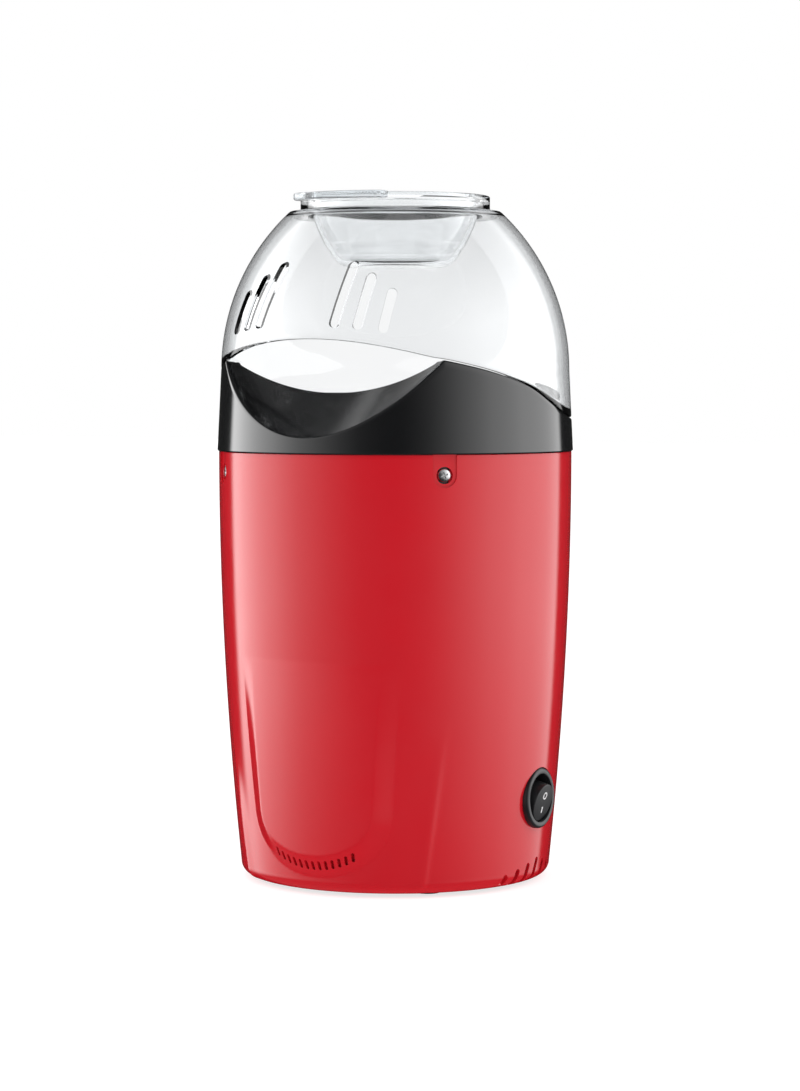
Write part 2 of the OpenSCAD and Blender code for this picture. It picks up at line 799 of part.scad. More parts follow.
body_shell();
chute_collar();
collar_screws();
lid_dome();
measuring_cup();
popping_chamber();
chamber_screws();
heater_drum();
heater_frame();
heater_coil();
heat_shield();
fan_housing();
housing_screws();
impeller();
impeller_clip();
motor_shaft();
motor_can();
motor_end_cap();
motor_magnets();
motor_armature();
motor_commutator();
motor_brushes();
motor_bearings();
motor_mount();
motor_screws();
rectifier_board();
diodes();
thermostat();
thermal_fuse();
terminal_block();
wiring();
switch_housing();
switch_rocker();
switch_marks();
switch_terminals();
base_plate();
base_screws();
feet();
cord_gland();
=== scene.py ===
"""The popcorn maker's looks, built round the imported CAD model.

Shapes are worked out in millimetres and turned into metres as each mesh is made.
psi is an angle from the front of the object, positive towards +X. "front" is a distance towards -Y.
"""

import math

import bmesh
import bpy
import numpy as np
from mathutils import Matrix, Vector


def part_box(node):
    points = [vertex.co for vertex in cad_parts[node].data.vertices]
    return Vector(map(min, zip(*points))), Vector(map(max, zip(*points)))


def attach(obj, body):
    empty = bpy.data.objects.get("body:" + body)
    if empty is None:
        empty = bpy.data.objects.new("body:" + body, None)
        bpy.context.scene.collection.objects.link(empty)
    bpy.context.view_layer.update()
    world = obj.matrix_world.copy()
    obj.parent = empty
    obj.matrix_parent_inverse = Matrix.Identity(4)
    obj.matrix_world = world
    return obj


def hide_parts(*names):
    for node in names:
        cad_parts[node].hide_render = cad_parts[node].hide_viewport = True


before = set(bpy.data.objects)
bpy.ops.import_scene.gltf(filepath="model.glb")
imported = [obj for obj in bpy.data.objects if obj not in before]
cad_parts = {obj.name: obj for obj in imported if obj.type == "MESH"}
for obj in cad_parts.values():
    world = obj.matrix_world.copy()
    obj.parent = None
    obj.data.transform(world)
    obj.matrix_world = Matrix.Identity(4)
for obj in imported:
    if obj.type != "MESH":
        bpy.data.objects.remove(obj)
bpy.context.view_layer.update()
MM = 0.001


def box_mm(node):
    """A CAD node's lowest and highest corners, in millimetres."""
    low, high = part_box(node)
    return low / MM, high / MM


# ---- Sizes read from the frame -------------------------------------------------------------------

SHELL_LOW, SHELL_HIGH = box_mm("body_shell")
COLLAR_HIGH = box_mm("chute_collar")[1]
CUP_HIGH = box_mm("measuring_cup")[1]
SWITCH_LOW, SWITCH_HIGH = box_mm("switch_housing")
GLAND_LOW, GLAND_HIGH = box_mm("cord_gland")
PLATE_HIGH = box_mm("base_plate")[1]
COLLAR_SCREWS_LOW, COLLAR_SCREWS_HIGH = box_mm("collar_screws")

SEAM = SHELL_HIGH.z
SHELL_BOTTOM = SHELL_LOW.z
BODY_TOP_R = SHELL_HIGH.x
COLLAR_R = COLLAR_HIGH.x
CUP_TOP = CUP_HIGH.z
SWITCH_Z = (SWITCH_LOW.z + SWITCH_HIGH.z) / 2
SCREW_Z = (COLLAR_SCREWS_LOW.z + COLLAR_SCREWS_HIGH.z) / 2
GLAND_Z = (GLAND_LOW.z + GLAND_HIGH.z) / 2
PLATE_R = PLATE_HIGH.x

# ---- Sizes of the shapes, in millimetres ---------------------------------------------------------

# Body. BARREL_R is the radius of the barrel's curve from foot to seam
BARREL_R = 1700.0
BODY_WALL = 2.2
CORNER_R = 5.0
BODY_STEPS = 640

# Raised U panel
PANEL_TOP = SEAM - 86.0
PANEL_BEND = 35.0
PANEL_FOOT = 12.6
PANEL_HALF_W = 30.4
PANEL_TOP_HALF_W = 36.2
PANEL_SLOPE = 8.5
PANEL_PROUD = 3.6

# The creases beside the panel: their angle at the foot, in degrees, and how they spread and fade
CREASE_PSI = 38.8
CREASE_SPREAD = 7.2
CREASE_SPREAD_Z = 70
CREASE_FULL_Z = 20
CREASE_GONE_Z = 78
CREASE_OUTER_W = 1.5
CREASE_INNER_W = 4.5
CREASE_PROUD = 0.8

# Collar
LIP_RISE = 6.3
RAMP_TILT = math.radians(35.7)
TROUGH_R = 119.5
CHUTE_BACK = 50.0
COLLAR_RIM_R = 74.8
COLLAR_FOOT_R = 73.4
COLLAR_HOLLOW_R = 68
TUBE_FOOT = SEAM + 7
COLLAR_STEPS = 900
MOUTH_R = 47.0
MOUTH_TUBE_R = 49.2
DECK_Z = SEAM + 17.8
DECK_T = 2.5
LIP_OUT = 70.6
LIP_IN = 68.4
SKIRT_OUT = 73.1
SKIRT_IN = 71.0
SKIRT_DROP = 17.0
COLLAR_TAPER = 0.0486

# Lid
DOME_R = 92.0
DOME_Z = SEAM + 34.5
LID_R = 74.6
DOME_X = LID_R - DOME_R
LID_WALL = 2.2
LID_GAP = 0.3
LID_TURN = math.radians(-4)
SHOULDER_R = 45.5
SHOULDER_Z = SEAM + 102
NECK_OUT = 38.4
NECK_IN = 37.2
ARCH_R = 165.0
ARCH_TOP = SEAM + 46.9
ARCH_START = 36.0
LID_STEPS = 480

# Measuring cup
CUP_STEPS = 192
TAB_HALF_DEG = 23.5
TAB_MIDDLE_R = 45.25
TAB_HALF_W = 4.75

# Side-view lines as (distance towards the front, height above the seam)
PARTING = [(-90, 14), (-36, 14), (-23, 14.8), (-11, 17), (2, 21.6), (15, 27.2), (34, 33.4), (51, 38),
           (90, 38)]
LIP_TOP = [(-90, 24.6), (-30, 24.6), (-2, 28), (15, 30.7), (30, 33), (51, 38), (90, 38)]
# Slots in the lid as (degrees from the lid's middle, foot and top above the seam)
SLOTS = [(15.5, 51.4, 78.5), (23, 50.6, 73.6), (31, 49.3, 67.3)]
SLOT_W = 4.2
SLOT_LEAN = math.radians(-13.5)

# Switch, as distances from the object's middle and radii about the switch's own middle
PIVOT_R = 64.1
BEZEL_SEAT = 68.3
BEZEL_R = 12.8
BEZEL_T = 2.5
SWITCH_BARREL_R = 11.2
ROCKER_R = 8.1
ROCKER_FACE = 7.7
POCKET_R = 10.1
POCKET_FLOOR = 61.5
ROCKER_SWING = math.radians(30)

# Collar screws and the channels, seats and holes that they sit in
SCREW_PSI = [45, 135, 225, 315]
SCREW_SEAT = 73.7
SCREW_HOLE_R = 3.5
SCREW_HOLE_FLOOR = 73.4
SHANK_HOLE_R = 1.6
SHANK_HOLE_FLOOR = 60
CHANNEL_R = 5
CHANNEL_TOP = 20
CHANNEL_DEPTH = 0.8

# Comb of grooves at the panel's foot
COMB_EACH_SIDE = 6
COMB_PITCH_DEG = 2.5
COMB_W = 1.4
COMB_LENGTH = 4.0
COMB_LIFT = 0.4
COMB_FLOOR = 67.0
# The body's radius at the comb, as a share of its radius at the top
COMB_R_SHARE = 0.91

# Air vents
VENTS_EACH_SIDE = 3
VENT_PITCH = 7.1
VENT_LEAN = math.radians(20)
VENT_W = 2.6
VENT_HEIGHT = 12.5
VENT_STEP = 1.7
# How far a vent's cutter reaches below the worktop, so that the vent runs out of the body's foot
VENT_BELOW = 8
VENT_FLOOR = 61.5

# Holes for the gland and the switch
GLAND_HOLE_R = 5.3
GLAND_SEAT_R = 8.2
GLAND_SEAT_FLOOR = 67
HOLE_FLOOR = 50
# Distances from the middle at which cutters end, clear of the walls that they cut
PAST_BODY = 85
PAST_COMB = 80
PAST_LID = 100
INSIDE_LID = 35


# ---- Mesh helpers --------------------------------------------------------------------------------

def finish_mesh(mesh, material, sharp_deg):
    """Merges coincident points, faces the normals outwards and shades smooth up to an angle."""
    work = bmesh.new()
    work.from_mesh(mesh)
    bmesh.ops.remove_doubles(work, verts=work.verts, dist=0.002 * MM)
    bmesh.ops.dissolve_degenerate(work, edges=work.edges, dist=0.001 * MM)
    bmesh.ops.recalc_face_normals(work, faces=work.faces)
    work.to_mesh(mesh)
    work.free()
    mesh.polygons.foreach_set("use_smooth", [True] * len(mesh.polygons))
    mesh.set_sharp_from_angle(angle=math.radians(sharp_deg))
    if material:
        mesh.materials.clear()
        mesh.materials.append(material)
    mesh.update()


def new_object(name, points_mm, faces, material=None, sharp_deg=35):
    mesh = bpy.data.meshes.new(name)
    mesh.from_pydata((np.asarray(points_mm, float) * MM).tolist(), [], faces)
    finish_mesh(mesh, material, sharp_deg)
    obj = bpy.data.objects.new(name, mesh)
    bpy.context.scene.collection.objects.link(obj)
    return obj


def ring_surface(name, columns, material=None, sharp_deg=35):
    """A closed ring of closed outlines: columns has shape (outlines, points of each, 3)."""
    count, points = columns.shape[:2]
    index = np.arange(count * points).reshape(count, points)
    across, along = np.roll(index, -1, axis=0), np.roll(index, -1, axis=1)
    both = np.roll(across, -1, axis=1)
    faces = np.stack([index, across, both, along], axis=-1).reshape(-1, 4).tolist()
    return new_object(name, columns.reshape(-1, 3), faces, material, sharp_deg)


def lathe(name, outline, steps=128, matrix=Matrix(), material=None, sharp_deg=35):
    """Turns a closed outline of (r, z) about the local Z axis. Points on the axis are merged."""
    outline = np.asarray(outline, float)
    angles = np.linspace(0, 2 * math.pi, steps, endpoint=False)
    columns = np.stack([
        np.stack([outline[:, 0] * math.sin(a), -outline[:, 0] * math.cos(a), outline[:, 1]], axis=-1)
        for a in angles])
    return ring_surface(name, transform(columns, matrix), material, sharp_deg)


def transform(points, matrix):
    """Applies a matrix, whose place is in millimetres, to an array of points."""
    m = np.array(matrix)
    return points @ m[:3, :3].T + m[:3, 3]


def prism(name, outline, low, high, matrix=Matrix()):
    """A straight prism along the local Z axis."""
    count = len(outline)
    points = [(x, y, low) for x, y in outline] + [(x, y, high) for x, y in outline]
    faces = [list(range(count))[::-1], list(range(count, 2 * count))]
    faces += [[i, (i + 1) % count, (i + 1) % count + count, i + count] for i in range(count)]
    return new_object(name, transform(np.array(points, float), matrix), faces)


def radial(psi_deg, z, turn=0.0):
    """Local X runs round the object, Y up and Z outwards, with an optional turn about Z."""
    a = math.radians(psi_deg)
    axes = Matrix(((math.cos(a), 0, math.sin(a)), (math.sin(a), 0, -math.cos(a)), (0, 1, 0))).to_4x4()
    return Matrix.Translation((0, 0, z)) @ axes @ Matrix.Rotation(turn, 4, "Z")


def circle(radius, steps=48, centre=(0.0, 0.0)):
    return [(centre[0] + radius * math.cos(2 * math.pi * i / steps),
             centre[1] + radius * math.sin(2 * math.pi * i / steps)) for i in range(steps)]


def stadium(width, length, steps=12):
    """A slot's outline along local Y, with round ends. length is end to end."""
    r, half = width / 2, (length - width) / 2
    top = [(r * math.cos(math.pi * i / steps), half + r * math.sin(math.pi * i / steps))
           for i in range(steps + 1)]
    return top + [(-x, -y) for x, y in top]


def rectangle(x0, x1, y0, y1):
    return [(x0, y0), (x1, y0), (x1, y1), (x0, y1)]


def apply_modifiers(obj):
    bpy.context.view_layer.update()
    graph = bpy.context.evaluated_depsgraph_get()
    made = bpy.data.meshes.new_from_object(obj.evaluated_get(graph), depsgraph=graph)
    obj.modifiers.clear()
    old = obj.data
    obj.data = made
    bpy.data.meshes.remove(old)


def boolean(obj, others, operation="DIFFERENCE"):
    """Cuts, joins or intersects obj with each of the others, and removes them."""
    for other in others:
        step = obj.modifiers.new("cut", "BOOLEAN")
        step.operation = operation
        step.object = other
        step.solver = "MANIFOLD"
    apply_modifiers(obj)
    for other in others:
        bpy.data.objects.remove(other)
    return obj


def join(parts, name):
    """Joins separate solids into one object."""
    work = bmesh.new()
    for part in parts:
        work.from_mesh(part.data)
    material = parts[0].data.materials[0] if parts[0].data.materials else None
    mesh = bpy.data.meshes.new(name)
    work.to_mesh(mesh)
    work.free()
    for part in parts:
        bpy.data.objects.remove(part)
    obj = bpy.data.objects.new(name, mesh)
    bpy.context.scene.collection.objects.link(obj)
    if material:
        mesh.materials.append(material)
    return obj


def polish(obj, material, sharp_deg=35):
    finish_mesh(obj.data, material, sharp_deg)
    return obj


def curve_through(points, spacing):
    """Points along a smooth curve through the given ones (Catmull-Rom)."""
    p = np.asarray(points, float)
    p = np.vstack([2 * p[0] - p[1], p, 2 * p[-1] - p[-2]])
    out = []
    for i in range(1, len(p) - 2):
        steps = max(2, int(np.linalg.norm(p[i + 1] - p[i]) / spacing))
        for t in np.linspace(0, 1, steps, endpoint=False):
            out.append(0.5 * (2 * p[i] + (p[i + 1] - p[i - 1]) * t
                              + (2 * p[i - 1] - 5 * p[i] + 4 * p[i + 1] - p[i + 2]) * t * t
                              + (3 * p[i] - p[i - 1] - 3 * p[i + 1] + p[i + 2]) * t ** 3))
    out.append(p[-2])
    return [tuple(q) for q in out]


def smooth_line(points, x):
    """Cubic through points of a line, with slopes taken from the neighbours."""
    xs, ys = np.array(points, float).T
    slopes = np.gradient(ys, xs)
    slopes[[0, 1, -2, -1]] = 0
    slopes[-2] = (ys[-2] - ys[-3]) / (xs[-2] - xs[-3])
    x = np.clip(x, xs[0], xs[-1])
    i = np.clip(np.searchsorted(xs, x) - 1, 0, len(xs) - 2)
    h = xs[i + 1] - xs[i]
    t = (x - xs[i]) / h
    return ((2 * t**3 - 3 * t**2 + 1) * ys[i] + (t**3 - 2 * t**2 + t) * h * slopes[i]
            + (3 * t**2 - 2 * t**3) * ys[i + 1] + (t**3 - t**2) * h * slopes[i + 1])


def smoothstep(low, high, x):
    t = np.clip((x - low) / (high - low), 0, 1)
    return t * t * (3 - 2 * t)


def arc(centre_r, centre_z, radius, start_deg, end_deg, steps):
    """Outline points along an arc, where 0 degrees points outwards and 90 up."""
    return [(centre_r + radius * math.cos(math.radians(a)), centre_z + radius * math.sin(math.radians(a)))
            for a in np.linspace(start_deg, end_deg, steps)]


# ---- Materials -----------------------------------------------------------------------------------

def node_material(name):
    material = bpy.data.materials.new(name)
    material.use_nodes = True
    nodes = material.node_tree.nodes
    return material, nodes, material.node_tree.links, nodes["Principled BSDF"]


def noise(nodes, links, scale, detail=3.0, stretch=(1, 1, 1)):
    """Noise over the object's own coordinates, in metres, and its output socket."""
    place = nodes.new("ShaderNodeTexCoord")
    mapping = nodes.new("ShaderNodeMapping")
    mapping.inputs["Scale"].default_value = stretch
    texture = nodes.new("ShaderNodeTexNoise")
    texture.inputs["Scale"].default_value = scale
    texture.inputs["Detail"].default_value = detail
    links.new(place.outputs["Object"], mapping.inputs["Vector"])
    links.new(mapping.outputs["Vector"], texture.inputs["Vector"])
    return texture.outputs["Fac"]


def map_range(nodes, links, socket, low, high, from_low=0.3, from_high=0.7):
    node = nodes.new("ShaderNodeMapRange")
    node.inputs["From Min"].default_value = from_low
    node.inputs["From Max"].default_value = from_high
    node.inputs["To Min"].default_value = low
    node.inputs["To Max"].default_value = high
    links.new(socket, node.inputs["Value"])
    return node.outputs["Result"]


def vary_colour(nodes, links, shader, socket, colour, spread):
    """Base colour that drifts lighter and darker by a share of itself."""
    mix = nodes.new("ShaderNodeMix")
    mix.data_type = "RGBA"
    mix.inputs["A"].default_value = [c * (1 - spread) for c in colour] + [1]
    mix.inputs["B"].default_value = [min(1, c * (1 + spread)) for c in colour] + [1]
    links.new(socket, mix.inputs["Factor"])
    links.new(mix.outputs["Result"], shader.inputs["Base Color"])


def add_bump(nodes, links, shader, socket, strength, distance_mm):
    bump = nodes.new("ShaderNodeBump")
    bump.inputs["Strength"].default_value = strength
    bump.inputs["Distance"].default_value = distance_mm * MM
    links.new(socket, bump.inputs["Height"])
    links.new(bump.outputs["Normal"], shader.inputs["Normal"])


def moulded(name, colour, rough, peel_scale, peel_mm, spread=0.04, coat=0.0):
    """Moulded plastic: slow colour drift, uneven polish and a fine orange peel."""
    material, nodes, links, shader = node_material(name)
    vary_colour(nodes, links, shader, noise(nodes, links, 22), colour, spread)
    links.new(map_range(nodes, links, noise(nodes, links, 60, 6), rough * 0.85, rough * 1.25),
              shader.inputs["Roughness"])
    shader.inputs["Coat Weight"].default_value = coat
    shader.inputs["Coat Roughness"].default_value = 0.06
    add_bump(nodes, links, shader, noise(nodes, links, peel_scale, 2), 0.35, peel_mm)
    return material


def clear_plastic(name, tint, density):
    """Clear polycarbonate that darkens where it is seen edge-on, through more of its thickness."""
    material, nodes, links, shader = node_material(name)
    shader.inputs["Base Color"].default_value = (0.985, 0.99, 0.992, 1)
    shader.inputs["Transmission Weight"].default_value = 1
    shader.inputs["IOR"].default_value = 1.49
    links.new(map_range(nodes, links, noise(nodes, links, 45, 5), 0.0, 0.03), shader.inputs["Roughness"])
    add_bump(nodes, links, shader, noise(nodes, links, 55, 1), 0.25, 0.05)
    absorb = nodes.new("ShaderNodeVolumeAbsorption")
    absorb.inputs["Color"].default_value = (*tint, 1)
    absorb.inputs["Density"].default_value = density
    links.new(absorb.outputs["Volume"], nodes["Material Output"].inputs["Volume"])
    return material


def metal(name, colour, rough, grain_scale, grain_stretch, grain_mm=0.01):
    """Metal with directional grain, smudges and an uneven sheen."""
    material, nodes, links, shader = node_material(name)
    shader.inputs["Metallic"].default_value = 1
    vary_colour(nodes, links, shader, noise(nodes, links, 35, 5), colour, 0.07)
    grain = noise(nodes, links, grain_scale, 4, grain_stretch)
    links.new(map_range(nodes, links, grain, rough * 0.7, rough * 1.4), shader.inputs["Roughness"])
    add_bump(nodes, links, shader, grain, 0.3, grain_mm)
    return material


RED = moulded("red_gloss", (0.6, 0.011, 0.02), 0.12, 420, 0.010, coat=0.1)
BLACK = moulded("black_gloss", (0.008, 0.0083, 0.009), 0.12, 420, 0.010, coat=0.55)
MATTE_BLACK = moulded("black_textured", (0.02, 0.02, 0.022), 0.45, 1500, 0.05)
SWITCH = moulded("switch_plastic", (0.012, 0.0125, 0.014), 0.3, 1800, 0.02)
LID = clear_plastic("clear_lid", (0.72, 0.75, 0.78), 60)
CUP = clear_plastic("clear_cup", (0.72, 0.76, 0.79), 60)
CHAMBER = metal("drawn_aluminium", (0.78, 0.79, 0.8), 0.26, 30, (1, 1, 60), 0.015)
SHEET = metal("plated_sheet", (0.55, 0.56, 0.57), 0.32, 240, (1, 1, 6))
SCREW = metal("zinc_screw", (0.74, 0.74, 0.75), 0.22, 900, (1, 1, 1))
COPPER = metal("copper", (0.7, 0.33, 0.16), 0.3, 900, (1, 1, 12), 0.03)
BRASS = metal("brass", (0.66, 0.52, 0.28), 0.28, 500, (1, 1, 3))
COIL = metal("oxidised_wire", (0.3, 0.27, 0.25), 0.45, 1200, (1, 1, 1), 0.03)
MICA = moulded("mica", (0.42, 0.31, 0.17), 0.4, 260, 0.06, 0.22)
CREAM = moulded("cream_moulding", (0.66, 0.61, 0.5), 0.42, 700, 0.03)
NYLON = moulded("white_nylon", (0.72, 0.7, 0.64), 0.38, 900, 0.02)
FERRITE = moulded("ferrite", (0.05, 0.05, 0.055), 0.6, 1600, 0.06, 0.15)
BOARD = moulded("board", (0.04, 0.16, 0.05), 0.35, 500, 0.03, 0.15)
CERAMIC = moulded("ceramic", (0.76, 0.75, 0.7), 0.3, 800, 0.02)
SLEEVE = moulded("wire_sleeve", (0.62, 0.62, 0.6), 0.6, 2600, 0.12, 0.12)
WHITE_INK = moulded("white_ink", (0.82, 0.82, 0.82), 0.5, 2200, 0.01)
RUBBER = moulded("rubber", (0.02, 0.02, 0.02), 0.75, 1400, 0.08, 0.12)

CAD_MATERIALS = {
    "popping_chamber": CHAMBER, "chamber_screws": SCREW, "heater_drum": SHEET, "heater_frame": MICA,
    "heater_coil": COIL, "heat_shield": SHEET, "fan_housing": CREAM, "housing_screws": SCREW,
    "impeller": NYLON, "impeller_clip": SHEET, "motor_shaft": SHEET, "motor_can": SHEET,
    "motor_end_cap": MATTE_BLACK, "motor_magnets": FERRITE, "motor_armature": COPPER,
    "motor_commutator": COPPER, "motor_brushes": FERRITE, "motor_bearings": BRASS, "motor_mount": SHEET,
    "motor_screws": SCREW, "rectifier_board": BOARD, "diodes": FERRITE, "thermostat": SHEET,
    "thermal_fuse": CERAMIC, "terminal_block": CERAMIC, "wiring": SLEEVE, "switch_marks": WHITE_INK,
    "switch_terminals": BRASS, "base_plate": MATTE_BLACK, "base_screws": SCREW, "feet": RUBBER,
    "cord_gland": MATTE_BLACK,
}
for node, material in CAD_MATERIALS.items():
    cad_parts[node].data.materials.clear()
    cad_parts[node].data.materials.append(material)


# ---- Body shell ----------------------------------------------------------------------------------

def barrel(z):
    """Radius of the body's outside at a height."""
    return BODY_TOP_R - BARREL_R + np.sqrt(BARREL_R**2 - (SEAM - z) ** 2)


def panel_foot_z(s):
    """Height of the middle of the panel's lower slope, s millimetres round from the front."""
    return PANEL_BEND - (PANEL_BEND - PANEL_FOOT) * np.sqrt(np.maximum(1 - (s / PANEL_HALF_W) ** 2, 0))


def panel_height(s, z):
    """How far the raised U panel stands proud of the barrel."""
    # The sides splay upwards, and the splay dies away below the bend so that the flank has no kink.
    lean = (PANEL_TOP_HALF_W - PANEL_HALF_W) / (PANEL_TOP - PANEL_BEND)
    side = np.abs(s) - lean * (z - PANEL_BEND) * np.exp(np.clip(z - PANEL_BEND, None, 0) / 5)
    down = np.clip((PANEL_BEND - z) / (PANEL_BEND - PANEL_FOOT), 0, None)
    f = np.hypot(side / PANEL_HALF_W, down) + 1e-6
    steep = np.hypot(side / PANEL_HALF_W**2, down / (PANEL_BEND - PANEL_FOOT)) / f + 1e-6
    inside = np.where(z < PANEL_BEND, (1 - f) / steep, PANEL_HALF_W - side)
    proud = PANEL_PROUD * np.clip((PANEL_TOP - z) / (PANEL_TOP - PANEL_FOOT), 0, 1) ** 0.75
    across = np.clip(inside / PANEL_SLOPE + 0.5, 0, 1)
    return proud * (0.8 * across + 0.2 * smoothstep(0, 1, across))


def crease_height(psi_deg, z):
    """Soft ridge that runs down the body on each side of the panel."""
    middle = CREASE_PSI + CREASE_SPREAD * np.clip(z / CREASE_SPREAD_Z, 0, 1.2)
    away = (np.abs(psi_deg) - middle) * 1.2
    fade = 1 - smoothstep(CREASE_FULL_Z, CREASE_GONE_Z, z)
    flank = np.where(away > 0, away / CREASE_OUTER_W, away / CREASE_INNER_W)
    return CREASE_PROUD * fade * np.exp(-flank ** 2)


def comb_cutters():
    """Row of short grooves along the foot of the panel."""
    cutters = []
    for i in range(-COMB_EACH_SIDE, COMB_EACH_SIDE + 1):
        psi = i * COMB_PITCH_DEG
        s = math.radians(psi) * BODY_TOP_R * COMB_R_SHARE
        place = radial(psi, float(panel_foot_z(s)) + COMB_LIFT)
        cutters.append(prism("groove", stadium(COMB_W, COMB_LENGTH, 6), COMB_FLOOR, PAST_COMB, place))
    return cutters


def vent_cutters():
    """Leaning air vents that run out of the body's foot on both sides, tallest in the middle."""
    cutters = []
    for side, lean in ((90, -VENT_LEAN), (270, VENT_LEAN)):
        for i in range(-VENTS_EACH_SIDE, VENTS_EACH_SIDE + 1):
            height = VENT_HEIGHT - abs(i) * VENT_STEP
            place = radial(side, 0) @ Matrix.Translation((i * VENT_PITCH, height / 2 - VENT_BELOW / 2, 0))
            place = place @ Matrix.Rotation(lean, 4, "Z")
            outline = stadium(VENT_W, height + VENT_BELOW, 8)
            cutters.append(prism("vent", outline, VENT_FLOOR, PAST_BODY, place))
    return cutters


def screw_cutters():
    """A round-footed channel, a seat and a shank hole for each of the collar's screws."""
    cutters = []
    channel = sorted([(x, y) for x, y in circle(CHANNEL_R, 40) if y <= 0.01], key=lambda p: p[0])
    channel += [(CHANNEL_R, CHANNEL_TOP), (-CHANNEL_R, CHANNEL_TOP)]
    for psi in SCREW_PSI:
        place = radial(psi, SCREW_Z)
        cutters.append(prism("channel", channel, BODY_TOP_R - CHANNEL_DEPTH, PAST_BODY, place))
        cutters.append(prism("screw_hole", circle(SCREW_HOLE_R), SCREW_HOLE_FLOOR, PAST_BODY, place))
        cutters.append(prism("shank_hole", circle(SHANK_HOLE_R, 24), SHANK_HOLE_FLOOR, PAST_BODY, place))
    return cutters


def fitting_cutters():
    """Holes and seats for the switch, on the +X side, and the cord's gland, at the back."""
    switch, gland = radial(90, SWITCH_Z), radial(180, GLAND_Z)
    return [
        prism("switch_hole", circle(SWITCH_BARREL_R + 0.2), HOLE_FLOOR, PAST_BODY, switch),
        prism("switch_seat", circle(BEZEL_R + 0.2, 64), BEZEL_SEAT, PAST_BODY, switch),
        prism("gland_hole", circle(GLAND_HOLE_R), HOLE_FLOOR, PAST_BODY, gland),
        prism("gland_seat", circle(GLAND_SEAT_R), GLAND_SEAT_FLOOR, PAST_BODY, gland)]


def build_body():
    """Barrel with a rounded foot and a thin wall, the panel and creases raised from it, then cut."""
    wall_z = np.concatenate([np.arange(SHELL_BOTTOM + CORNER_R, 100, 0.9), np.arange(100, SEAM - 1, 3.0)])
    corner_centre = float(barrel(SHELL_BOTTOM + CORNER_R)) - CORNER_R
    corner = arc(corner_centre, SHELL_BOTTOM + CORNER_R, CORNER_R, -90, -8, 10)
    outer = [(r, z, 0.3 + 0.7 * i / 9) for i, (r, z) in enumerate(corner)]
    outer += [(float(barrel(z)), z, 1.0) for z in wall_z]
    edge = arc(float(barrel(SEAM)) - 0.5, SEAM - 0.5, 0.5, 0, 90, 5)
    outer += [(r, z, 1.0) for r, z in edge]
    inner_z = np.linspace(SEAM, SHELL_BOTTOM + CORNER_R, 14)
    inner = [(float(barrel(z)) - BODY_WALL, z, 0.0) for z in inner_z]
    rim_r = PLATE_R + 0.3
    inner += [(rim_r + 0.3, SHELL_BOTTOM + CORNER_R, 0.0), (rim_r, SHELL_BOTTOM + CORNER_R - 0.3, 0.0)]
    inner += [(rim_r, SHELL_BOTTOM + 0.4, 0.0), (rim_r + 0.4, SHELL_BOTTOM, 0.0)]
    r, z, weight = np.array(outer + inner).T
    columns = []
    for psi in np.linspace(-180, 180, BODY_STEPS, endpoint=False):
        s = math.radians(psi) * r
        lift = weight * (panel_height(s, z) + crease_height(psi, z))
        a = math.radians(psi)
        columns.append(np.stack([(r + lift) * math.sin(a), -(r + lift) * math.cos(a), z], axis=-1))
    body = ring_surface("body_shell_skin", np.array(columns))
    cutters = comb_cutters() + vent_cutters() + screw_cutters() + fitting_cutters()
    return polish(boolean(body, cutters), RED, 28)


# ---- Chute collar --------------------------------------------------------------------------------

def parting(front):
    """Height of the line where the lid meets the collar's outer wall."""
    return SEAM + smooth_line(PARTING, front)


def lip_line(front):
    """Height of the top of the lip that locates the lid."""
    return SEAM + smooth_line(LIP_TOP, front)


def trough(x, front):
    """Height of the chute's trough over a point."""
    dip = TROUGH_R - np.sqrt(np.maximum(TROUGH_R**2 - x * x, 0))
    return SEAM + LIP_RISE + (COLLAR_R - front) * math.tan(RAMP_TILT) + dip / math.cos(RAMP_TILT)


